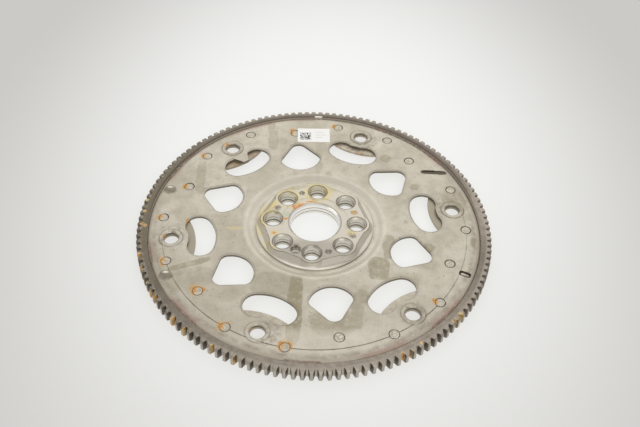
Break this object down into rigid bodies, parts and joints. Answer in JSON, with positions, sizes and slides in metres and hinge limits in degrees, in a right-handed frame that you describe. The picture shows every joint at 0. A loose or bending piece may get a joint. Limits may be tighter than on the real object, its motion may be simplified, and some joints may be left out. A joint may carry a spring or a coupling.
{
  "type": "flexplate",
  "caption": "Stamped steel flexplate with a toothed ring gear welded round its rim, a riveted backing ring, lightening holes and a bolted hub with a pilot bore.",
  "frame": {"origin": "on the axis of rotation, at the underside of the ring gear, which is the plane that the part lies on", "axes": "+Z along the axis of rotation, from the engine side up to the converter side; +X is to the right in the picture"},
  "size_m": [0.2978, 0.2978, 0.0122],
  "materials": {
    "plate_steel": "satin stamped steel with fluid stains",
    "gear_steel": "dark hardened steel with light rust",
    "weld_steel": "heat-tinted weld bead",
    "backing_steel": "satin stamped steel, brownish",
    "rivet_steel": "flush steel rivet with rust round its head",
    "hub_steel": "satin machined steel with yellowish stains",
    "spacer_steel": "satin steel",
    "label_paper": "matt white label"
  },
  "bodies": {
    "root": {"drive_plate": "plate_steel", "ring_gear": "gear_steel", "rim_welds": "weld_steel", "backing_ring": "backing_steel", "rivets": "rivet_steel", "front_hub_plate": "hub_steel", "rear_hub_spacer": "spacer_steel", "hub_rivets": "rivet_steel", "label": "label_paper"}
  },
  "joints": []
}
